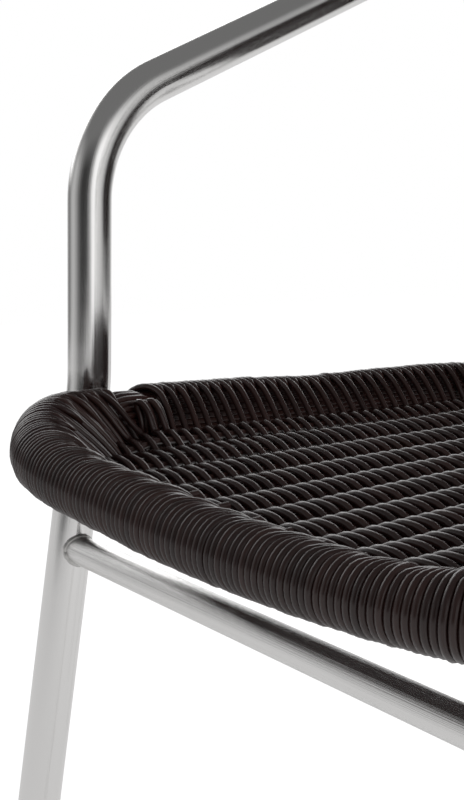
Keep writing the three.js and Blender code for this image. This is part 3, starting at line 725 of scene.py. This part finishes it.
# Front turns: up the outside, over the top, then along the inner slope to the right and in. Each
# bundle goes in beside a rib
bundle_x = np.array([-134, -110, -86, -62, -39, -17, 4, 24.5, 46, 68, 90, 111, 133, 155.0])
bundle_along = front_along(bundle_x)
front_face_radius = 20.0
front_unevenness = 0.12
notch_slack = 5.0
corner_run = 72.0
corner_y = -162.0
lean_at_notch = 6.0
corner_lean = 8.0
corner_slide = 9
corner_slide_from = 0.45
row_crowding = 0.85
# A filler's foot, from the end of its turn and from its row
filler_in = 24
filler_behind = 2.0
filler_drop = 40
filler_lead = np.array([14, 0, -26.0])
turn_start = math.radians(-165)
slide_from = math.radians(62)
slide_over = math.radians(80)
corner_end = math.radians(104)
filler_end = math.radians(92)
bundle_end = math.radians(150)
bulge_at = math.radians(112)
bulge_width = math.radians(34)
bulge_height = 1.2
# A turn pulled this far lies on top of its bundle
full_pull = 22
pull_on_slope = 0.9
last_pull = 4.0
# Feet of the bundled turns: how far in and down they go, and less far in but deeper by the corner
foot_in = 17
foot_down = 2
spread_down = 5
tuck_length = 26
tuck_out = 11
tuck_down = 14
foot_lead = 14

notch_front, notch_back = along_front_left + notch_width / 2, along_front_left - notch_width / 2
notch_rear = along_rear_left + notch_width / 2
notch_front_y = ring_at(notch_front)[0][1]
notch_back_y = ring_at(notch_back)[0][1]
notch_rear_y = ring_at(notch_rear)[0][1]
corner_wefts = [j for j in range(len(weft_y)) if corner_y < weft_y[j] < notch_front_y + corner_lean]
front_start = notch_front + notch_slack
front_turns = even_turns(front_start, ring_length - front_start, front_face_radius)


def corner_line(point, outward, radius, share, right, last_row):
    """A turn at a corner, and its row: a row's first turn runs on in it, the rest fill between."""
    if right:
        point, outward = point * [-1, 1, 1], outward * [-1, 1, 1]
    row = min(int(share**row_crowding * len(corner_wefts)), len(corner_wefts) - 1)
    j = corner_wefts[::-1][row]
    filler = j == last_row
    turns = np.linspace(turn_start, filler_end if filler else corner_end, 26)
    late = ease((share - corner_slide_from) / (1 - corner_slide_from))
    drawn = ease((turns - slide_from) / slide_over) * late
    slide = -corner_slide if right else corner_slide
    line = around_roll(point, outward, radius, turns, drawn * slide)
    if filler:
        foot = np.array([line[-1][0] + filler_in, weft_y[j] + filler_behind, line[-1][2] - filler_drop])
        away = unit(unit(line[-1] - line[-2]) - 0.3 * up) * 34
        line = np.concatenate([line, hermite(line[-1], foot, away, filler_lead, 9)])
    else:
        line = into_weave(line, j, right)
    return (line * [-1, 1, 1] if right else line), j


def bundle_line(point, outward, radius, along, past_corner):
    """A turn of the front that is drawn along the inner slope to its bundle and goes in there."""
    ahead = bundle_along[bundle_along > along - 1.0]
    pull = (ahead[0] - along) if len(ahead) else last_pull
    stack = min(pull / full_pull, 1.0)
    turns = np.linspace(turn_start, bundle_end, 30)
    gathered = ease((turns - slide_from) / slide_over)
    bulge = np.exp(-(((turns - bulge_at) / bulge_width) ** 2))
    swollen = radius + bulge_height * stack * bulge
    line = around_roll(point, outward, swollen, turns, gathered * pull * pull_on_slope)
    tangent = np.cross(up, outward)
    tuck = math.exp(-past_corner / tuck_length)
    sink = foot_down + spread_down * (1 - stack) + tuck_down * tuck
    foot = line[-1] - outward * (foot_in - tuck_out * tuck) + tangent * (pull * 0.1) - up * sink
    lead = (line[-1] - line[-2]) * 6
    return np.concatenate([line, hermite(line[-1], foot, lead, -outward * foot_lead * (1 - tuck), 6)])


front_lines = []
last_weft = {False: None, True: None}
for along in front_turns[np.argsort(np.abs(front_turns - ring_length / 2))[::-1]]:
    right = along > ring_length / 2
    from_notch = min(along, ring_length - along) - notch_front - notch_slack
    point, outward, radius = roll_of(along)
    radius = radius + shake.normal(0, front_unevenness)
    if from_notch < corner_run:
        share = from_notch / corner_run
        line, last_weft[right] = corner_line(point, outward, radius, share, right, last_weft[right])
    else:
        line = bundle_line(point, outward, radius, along, from_notch - corner_run)
    front_lines.append(line)
strands("front_rim_winding_strands", front_lines, front_strand_radius, "seat_front_winding")

# Rim windings of the seat's sides, wound over the lengthwise strands. Every turn is the end of a
# row of the weave. In each front notch, beside the leg, four rows end in hooks over the
# lengthwise strands instead.

side_unevenness = 0.15
hook_unevenness = 0.2
side_start = math.radians(-160)
side_end_over = math.radians(112)
side_end_under = math.radians(104)
side_lean_length = 16
hook_start = math.radians(205)
hook_end = math.radians(140)
hook_tip = np.array([1.5, 0.4, 1.3])
side_wefts = [j for j in range(len(weft_y)) if notch_back_y + lean_at_notch < weft_y[j] < notch_rear_y]
hooks_from, hooks_to = notch_front_y + corner_lean, notch_back_y + lean_at_notch
hooked_wefts = [j for j in range(len(weft_y)) if hooks_from <= weft_y[j] <= hooks_to]


def side_line(j, right):
    """A turn of the side winding, leaning away from the notch, with its run down to the weave."""
    lean = lean_at_notch * math.exp(-(weft_y[j] - notch_back_y - lean_at_notch) / side_lean_length)
    point, outward, radius = roll_of(side_along(weft_y[j] - lean))
    radius = radius + shake.normal(0, side_unevenness)
    leave = side_end_over if passes_over(j, right) else side_end_under
    line = around_roll(point, outward, radius, np.linspace(side_start, leave, 26))
    line[:, 1] += lean * ease(np.linspace(-2.0, 1, len(line)))
    line = into_weave(line, j, right, dips=True)
    return line * [-1, 1, 1] if right else line


def hook_line(j, right):
    """A cross strand that starts with a hook over the lengthwise strands, open in the notch."""
    point, outward, radius = roll_of(side_along(weft_y[j] - lean_at_notch))
    radius = under_loose_radius + 2 * strand_radius
    turns = np.linspace(hook_start, hook_end, 10)
    lower = 0 if passes_over(j, right) else 1.5
    hook = around_roll(point, outward, radius + shake.normal(0, hook_unevenness) - lower, turns)
    tip = hook[-1] + hook_tip
    line = np.concatenate([hook, [tip, tip + [1.8, 0.6, 0.1], tip + [3.3, 1.2, -1.2]]])
    line = into_weave(line, j, right)
    return line * [-1, 1, 1] if right else line


for right, name, node in (
    (False, "left_rim_winding_strands", "seat_left_winding"),
    (True, "right_rim_winding_strands", "seat_right_winding"),
):
    lines = [side_line(j, right) for j in side_wefts] + [hook_line(j, right) for j in hooked_wefts]
    strands(name, lines, strand_radius, node)

# Seat weave. Flat bundles of three strands run from front to back as ribs, 24 mm apart, and the
# cross strands pass over one and under the next, each opposite to its neighbours, packed close.

weave_strand_radius = 2.02
weave_unevenness = 0.12
rib_strand_pitch = 3.6
rib_points = 70
row_points = 90
# Rows that no turn runs on into go in under the rim: how far inside it, their points' step, and
# where they and the ribs begin to dive
row_inset = 17
row_step = 1.7
row_dive_length = 22
rib_inset = 10
rib_dive_length = 14
edge_sink = 9
outer_rib_half = 156
outer_rib_x = 150

weft_lines = []
for j, y in enumerate(weft_y):
    start_over = (j + 1) % 2
    if corner_y < y < notch_rear_y:
        first = rib_x[0] if start_over == 0 else rib_x[1]
        last = rib_x[-1] if (j + len(rib_x) - 1) % 2 else rib_x[-2]
        x = np.linspace(first, last, row_points)
        z = weft_height(x, y, start_over)
    else:
        reach = np.interp(side_along(y), ring_along, -ring_x) - row_inset
        x = np.linspace(-reach, reach, int(reach / row_step))
        dive = edge_sink * ease((np.abs(x) - reach + row_dive_length) / row_dive_length)
        z = weft_height(x, y, start_over) - dive
    row_y = np.full(len(x), y) + shake.normal(0, weave_unevenness)
    weft_lines.append(np.column_stack([x, row_y, z]))

rib_lines = []
for x in rib_x:
    half = outer_rib_half
    if abs(x) < outer_rib_x:
        half = np.interp(front_along(x), ring_along, -ring_y) - rib_inset
    y = np.linspace(-half, half, rib_points)
    dive = edge_sink * ease((np.abs(y) - half + rib_dive_length) / rib_dive_length)
    for offset in (-rib_strand_pitch, 0, rib_strand_pitch):
        z = weave_crest(x, y) - strand_radius - rib_rise - dive
        rib_lines.append(np.column_stack([np.full(rib_points, x + offset), y, z]))
strands("seat_weave_strands", weft_lines + rib_lines, weave_strand_radius, "seat_weave")

# Windings of the seat's back edge and of the back: close turns of strand round the rim, the posts,
# the lower rail and the top tube, each turn laid as a ring of its own.

# Lays closed turns along each line, square to it, a pitch apart
turns_inputs = {"Roll radius": "Float", "Pitch": "Float", "Turn points": "Int", "Wobble": "Float"}
turns_tree, start = new_tree("close_turns_along_lines", turns_inputs | sweep_inputs)
curves = put(turns_tree, "GeometryNodeMeshToCurve", {"Mesh": start.outputs["Lines"]})
steps = {"Curve": curves, "Length": start.outputs["Pitch"]}
spaced = put(turns_tree, "GeometryNodeResampleCurve", steps, mode="LENGTH")
tangent = put(turns_tree, "GeometryNodeInputTangent")
reach = {0: (-1, -1, -1), 1: (1, 1, 1), "Seed": 5}
lean_in = put(turns_tree, "FunctionNodeRandomValue", reach, data_type="FLOAT_VECTOR")
small = {0: lean_in, "Scale": start.outputs["Wobble"]}
leant = put(turns_tree, "ShaderNodeVectorMath", small, operation="SCALE")
facing = put(turns_tree, "ShaderNodeVectorMath", {0: tangent, 1: leant}, operation="ADD")
square = put(turns_tree, "FunctionNodeAlignRotationToVector", {"Vector": facing}, axis="Z")
turn_sizes = {"Resolution": start.outputs["Turn points"], "Radius": start.outputs["Roll radius"]}
turn_ring = put(turns_tree, "GeometryNodeCurvePrimitiveCircle", turn_sizes)
girth = put(turns_tree, "GeometryNodeInputNamedAttribute", {"Name": "girth"}, data_type="FLOAT")
turns_at = {"Points": spaced, "Instance": turn_ring, "Rotation": square, "Scale": girth}
laid = put(turns_tree, "GeometryNodeInstanceOnPoints", turns_at)
real = put(turns_tree, "GeometryNodeRealizeInstances", {"Geometry": laid})
finish_sweep(turns_tree, start, real, 1.0)

turn_points = 20
turn_wobble = 0.03


def wound(name, line, roll, node):
    """A close winding along the line, with its strand's middle at the roll's radius from it."""
    values = {
        "Roll radius": roll * 0.001,
        "Pitch": strand_radius * 0.002,
        "Radius": strand_radius * 0.001,
        "Sides": 8,
        "Turn points": turn_points,
        "Wobble": turn_wobble,
        "Material": rattan,
    }
    grown(name, line_mesh(name + "_lines", [line]), turns_tree, values, "rattan_strand", node)


rear_roll_radius = 19.6
rear_gap = along_rear_left - notch_width / 2
rear_point = roll_of(np.linspace(-rear_gap, rear_gap, 120) % ring_length)[0]
wound("rear_rim_winding_strands", rear_point, rear_roll_radius - strand_radius, "seat_back_winding")

top_share = np.linspace(post_share, 1, 80)
top_half = back_at(top_share)
seated_gap = 0.3
top_end_gap = 3
tube_roll = tube_radius + seated_gap + strand_radius
clear = -post_top[0] - tube_radius - 2 * strand_radius - top_end_gap
top_line = np.concatenate([top_half, mirrored(top_half)[1:]])
top_line = top_line[np.abs(top_line[:, 0]) < clear]
wound("top_winding_strands", filled(top_line, 4), tube_roll, "back_top_winding")

rail_clear = abs(rail_end[0]) - tube_radius - strand_radius - 1
rail_run = filled(rail_line, 3)
rail_run = rail_run[np.abs(rail_run[:, 0]) < rail_clear]
rail_roll = crossbar_radius + seated_gap + strand_radius
wound("rail_winding_strands", rail_run, rail_roll, "back_rail_winding")

post_from = on_leg(post_knee, post_axis, rail_end[2] + crossbar_radius + strand_radius + 2)
post_to = post_top - post_axis * (tube_radius + 6) / post_axis[2]
post_run = np.linspace(post_from, post_to, 60)
wound("left_post_winding_strands", post_run, tube_roll, "back_left_winding")
wound("right_post_winding_strands", post_run * [-1, 1, 1], tube_roll, "back_right_winding")

# Back weave: the same work as the seat, stood up. Ribs go from rail to top, cross strands from
# post to post in rows that fan with the curve of the top tube.

back_rows = 51
row_overlap = 2
rib_run_out = 0.03
back_rib_strand_pitch = 3.7
back_rib_girth = 0.86
back_rib = rib_pitch * (np.arange(rib_count) - (rib_count - 1) / 2)
rail_top = crossbar_radius + 2 * strand_radius + 2
top_under = tube_radius + 2 * strand_radius + 2
post_inside = abs(rail_end[0]) - tube_radius - 1
back_share_line = back_at(np.linspace(0, 1, 400))


def back_point(x, share, off=0.0):
    """A point of the back's bowed sheet, off it by off: share 0 is at the rail, 1 under the top."""
    depth_rail = np.interp(-np.abs(x), rail_line[:25, 0], rail_line[:25, 1])
    top_y = np.interp(-np.abs(x), back_share_line[:, 0], back_share_line[:, 1])
    top_z = np.interp(-np.abs(x), back_share_line[:, 0], back_share_line[:, 2]) - top_under
    low_z = rail_end[2] + rail_top
    z = low_z + share * (top_z - low_z)
    y = depth_rail + (top_y - depth_rail) * (z - rail_end[2]) / (top_z + top_under - rail_end[2])
    return np.stack(np.broadcast_arrays(x, y + off, z), -1)


# The posts lean in towards the top, and the weave narrows with them
post_lean = (post_top[0] - rail_end[0]) / (post_top[2] - rail_end[2])
back_lines = []
x = np.linspace(-post_inside - row_overlap, post_inside + row_overlap, 108)
for row in range(back_rows):
    share = (row + 0.5) / back_rows
    wave = np.cos(math.pi * (np.interp(x, back_rib, np.arange(rib_count)) + row))
    line = back_point(x, share, rib_rise * wave)
    inset = line[:, 2] - rail_end[2]
    line[:, 0] -= np.sign(line[:, 0]) * post_lean * inset * (np.abs(x) / post_inside)
    back_lines.append(line)
share = np.linspace(-rib_run_out, 1 + rib_run_out, 40)
for x in back_rib:
    for offset in (-back_rib_strand_pitch, 0, back_rib_strand_pitch):
        line = back_point(x + offset, share)
        line[:, 0] -= np.sign(x) * post_lean * (line[:, 2] - rail_end[2]) * abs(x) / post_inside
        back_lines.append(np.column_stack([line, np.full(len(share), back_rib_girth)]))
strands("back_weave_strands", back_lines, strand_radius, "back_weave")

# Seat fixings and feet. Four sets of a stainless bolt and nut with a plain aluminium spacer between
# leg and seat ring, and a moulded plug pressed into the foot of each leg. They are the CAD's own
# solids, with finishes of their own.

# Plain stainless steel, cold formed: bright grey, satin, with a very fine uneven grain
stainless_steel, tree, shader = new_material("plain_stainless_steel")
place = put(tree, "ShaderNodeTexCoord").outputs["Object"]
grain = put(tree, "ShaderNodeTexNoise", {"Vector": place, "Scale": 700.0, "Detail": 2.0})
satin = put(tree, "ShaderNodeMapRange", {"Value": grain, "To Min": 0.22, "To Max": 0.38})
feed(shader, {"Base Color": linear("#c3c5c6"), "Roughness": satin, "Metallic": 1.0})

# Moulded black polypropylene: matt, with a fine spark-eroded grain, dusty at the floor
moulded, tree, shader = new_material("moulded_polypropylene_foot")
place = put(tree, "ShaderNodeTexCoord").outputs["Object"]
height = put(tree, "ShaderNodeSeparateXYZ", {"Vector": place}).outputs["Z"]
near_floor = {"Value": height, "From Max": 0.006, "To Min": 1.0, "To Max": 0.0}
dust = put(tree, "ShaderNodeMapRange", near_floor)
blacks = {"Factor": dust, "A": linear("#1b1b1c"), "B": linear("#3b3937")}
tint = put(tree, "ShaderNodeMix", blacks, data_type="RGBA")
grain = put(tree, "ShaderNodeTexNoise", {"Vector": place, "Scale": 1600.0, "Detail": 2.0})
pits = put(tree, "ShaderNodeBump", {"Height": grain, "Strength": 0.25, "Distance": 0.0002})
feed(shader, {"Base Color": tint, "Roughness": 0.55, "Normal": pits})

for corner in ("front_left", "front_right", "rear_left", "rear_right"):
    for part, material in (
        ("seat_bolt", stainless_steel),
        ("spacer", mill_aluminium),
        ("nut", stainless_steel),
        ("foot", moulded),
    ):
        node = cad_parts[f"{corner}_{part}"]
        node.data.materials.clear()
        node.data.materials.append(material)

# Studio. A plain white floor, two soft lamps, and a room for polished metal to mirror: a white
# backdrop, a bright screen to the right, a dim ceiling, and darkness behind the camera.

floor_half = 4.0
floor_mesh = bpy.data.meshes.new("floor")
corners = [(x * floor_half, y * floor_half, 0) for x, y in ((-1, -1), (1, -1), (1, 1), (-1, 1))]
floor_mesh.from_pydata(corners, [], [(0, 1, 2, 3)])
floor = bpy.data.objects.new("floor", floor_mesh)
bpy.context.scene.collection.objects.link(floor)
# White paint that glows as a lit backdrop does: plain in soft light, bright where it is seen
white = (1, 1, 1, 1)
floor_paint = bpy.data.materials.new("white_painted_floor")
floor_paint.use_nodes = True
tree = floor_paint.node_tree
tree.nodes.clear()
rays = put(tree, "ShaderNodeLightPath").outputs
direct = rays["Is Camera Ray"]
seen = put(tree, "ShaderNodeMath", {0: direct, 1: rays["Is Glossy Ray"]}, operation="MAXIMUM")
seen = put(tree, "ShaderNodeMath", {0: seen, 1: rays["Is Transmission Ray"]}, operation="MAXIMUM")
plain = put(tree, "ShaderNodeBsdfDiffuse", {"Color": linear("#e8e8e8")})
shaded = put(tree, "ShaderNodeBsdfDiffuse", {"Color": linear("#a0a0a0")})
strength = put(tree, "ShaderNodeMapRange", {"Value": direct, "To Min": 0.56, "To Max": 0.95})
glow = put(tree, "ShaderNodeEmission", {"Color": white, "Strength": strength})
lit = put(tree, "ShaderNodeAddShader", {0: shaded, 1: glow})
split = put(tree, "ShaderNodeMixShader", {0: seen, 1: plain, 2: lit})
put(tree, "ShaderNodeOutputMaterial", {"Surface": split})
floor_mesh.materials.append(floor_paint)

world = bpy.data.worlds.new("studio")
bpy.context.scene.world = world
world.use_nodes = True
tree = world.node_tree
tree.nodes.clear()
rays = put(tree, "ShaderNodeLightPath").outputs
sky = put(tree, "ShaderNodeTexCoord").outputs["Generated"]
way = put(tree, "ShaderNodeSeparateXYZ", {"Vector": sky}).outputs
# Bearing round the studio: 0 at the photographer, rising to the photographer's right
bearing = put(tree, "ShaderNodeMath", {0: way["Y"], 1: way["X"]}, operation="ARCTAN2")
bearing = put(tree, "ShaderNodeMath", {0: bearing, 1: math.radians(37.8)}, operation="ADD")
bearing = put(tree, "ShaderNodeMath", {0: bearing, 1: -math.pi, 2: math.pi}, operation="WRAP")
all_round = {"Value": bearing, "From Min": -math.pi, "From Max": math.pi}
round_share = put(tree, "ShaderNodeMapRange", all_round)
walls = put(tree, "ShaderNodeValToRGB", {"Fac": round_share})
# Brightness of the studio's walls by bearing in degrees
wall_tones = [
    (-180, 1.0), (-152, 0.62), (-128, 0.17), (-112, 0.3), (-90, 0.58), (-72, 0.42), (-54, 0.17),
    (-40, 0.045), (-14, 0.04), (-2, 0.10), (8, 0.40), (18, 1.15), (38, 1.15), (50, 0.75),
    (66, 0.6), (80, 0.42), (96, 0.17), (114, 0.09), (138, 0.3), (158, 0.9), (180, 1.0),
]
ramp = walls.color_ramp
while len(ramp.elements) < len(wall_tones):
    ramp.elements.new(0.5)
for element, (degrees, tone) in zip(ramp.elements, wall_tones):
    element.position = (degrees + 180) / 360
for element, (degrees, tone) in zip(ramp.elements, wall_tones):
    element.color = (tone, tone, tone, 1)
dim_grey = (0.18, 0.18, 0.18, 1)
overhead = put(tree, "ShaderNodeMapRange", {"Value": way["Z"], "From Min": 0.34, "From Max": 0.62})
room = put(tree, "ShaderNodeMix", {"Factor": overhead, "A": walls, "B": dim_grey}, data_type="RGBA")
# A large soft box stands behind the chair, from just above the horizon to some 30 degrees up
box_light = (2.25, 2.25, 2.25, 1)
rise_in = put(tree, "ShaderNodeMapRange", {"Value": way["Z"], "From Min": 0.08, "From Max": 0.2})
rise_out = put(tree, "ShaderNodeMapRange", {"Value": way["Z"], "From Min": 0.62, "From Max": 0.45})
aside = put(tree, "ShaderNodeMath", {0: bearing}, operation="ABSOLUTE")
to_back = put(tree, "ShaderNodeMapRange", {"Value": aside, "From Min": 1.9, "From Max": 2.5})
box_share = put(tree, "ShaderNodeMath", {0: rise_in, 1: rise_out}, operation="MULTIPLY")
box_share = put(tree, "ShaderNodeMath", {0: box_share, 1: to_back}, operation="MULTIPLY")
box_parts = {"Factor": box_share, "A": room, "B": box_light}
lit_room = put(tree, "ShaderNodeMix", box_parts, data_type="RGBA")
# Plain soft light falls on the chair, reflections show the room, and the camera sees pure white
soft_parts = {"Factor": overhead, "A": (0.62, 0.6, 0.6, 1), "B": (0.13, 0.13, 0.13, 1)}
soft = put(tree, "ShaderNodeMix", soft_parts, data_type="RGBA")
mirror_parts = {0: rays["Is Glossy Ray"], 1: rays["Is Transmission Ray"]}
mirrored_rays = put(tree, "ShaderNodeMath", mirror_parts, operation="MAXIMUM")
ambient_parts = {"Factor": mirrored_rays, "A": soft, "B": lit_room}
ambient = put(tree, "ShaderNodeMix", ambient_parts, data_type="RGBA")
seen_parts = {"Factor": rays["Is Camera Ray"], "A": ambient, "B": white}
behind = put(tree, "ShaderNodeMix", seen_parts, data_type="RGBA")
back_light = put(tree, "ShaderNodeBackground", {"Color": behind, "Strength": 1.0})
put(tree, "ShaderNodeOutputWorld", {"Surface": back_light})

# Two soft square lamps that face the seat: name, place, width in metres and power in watts
lamp_target = np.array([0.0, 0.0, 0.42])
for name, place, size, power in (
    ("lamp_behind", (-1.3, 1.5, 1.5), 1.6, 14.0),
    ("lamp_right", (1.7, 0.4, 1.0), 1.2, 10.0),
):
    lamp = bpy.data.lights.new(name, "AREA")
    lamp.shape = "SQUARE"
    lamp.size = size
    lamp.energy = power
    lamp_object = bpy.data.objects.new(name, lamp)
    lamp_object.location = place
    towards = lamp_target - place
    lamp_object.rotation_euler = (
        math.atan2(math.hypot(towards[0], towards[1]), -towards[2]),
        0,
        math.atan2(-towards[0], towards[1]),
    )
    lamp_object.visible_glossy = False
    bpy.context.scene.collection.objects.link(lamp_object)

bpy.context.scene.view_settings.view_transform = "Standard"

# The photographer's place: 0.64 m from the rim's corner in view and 0.13 m above it
camera_place = [378.09, -480.59, 565.72]
camera_tilt = math.radians(79.791)
camera_heading = math.radians(52.215)
camera = bpy.data.cameras.new("camera")
camera.lens = 54.33
camera.sensor_width = 36.0
camera.clip_start = 0.02
camera_object = bpy.data.objects.new("camera", camera)
camera_object.location = plant(camera_place)
camera_object.rotation_euler = (camera_tilt, 0, camera_heading)
bpy.context.scene.collection.objects.link(camera_object)
bpy.context.scene.camera = camera_object

bpy.context.view_layer.update()
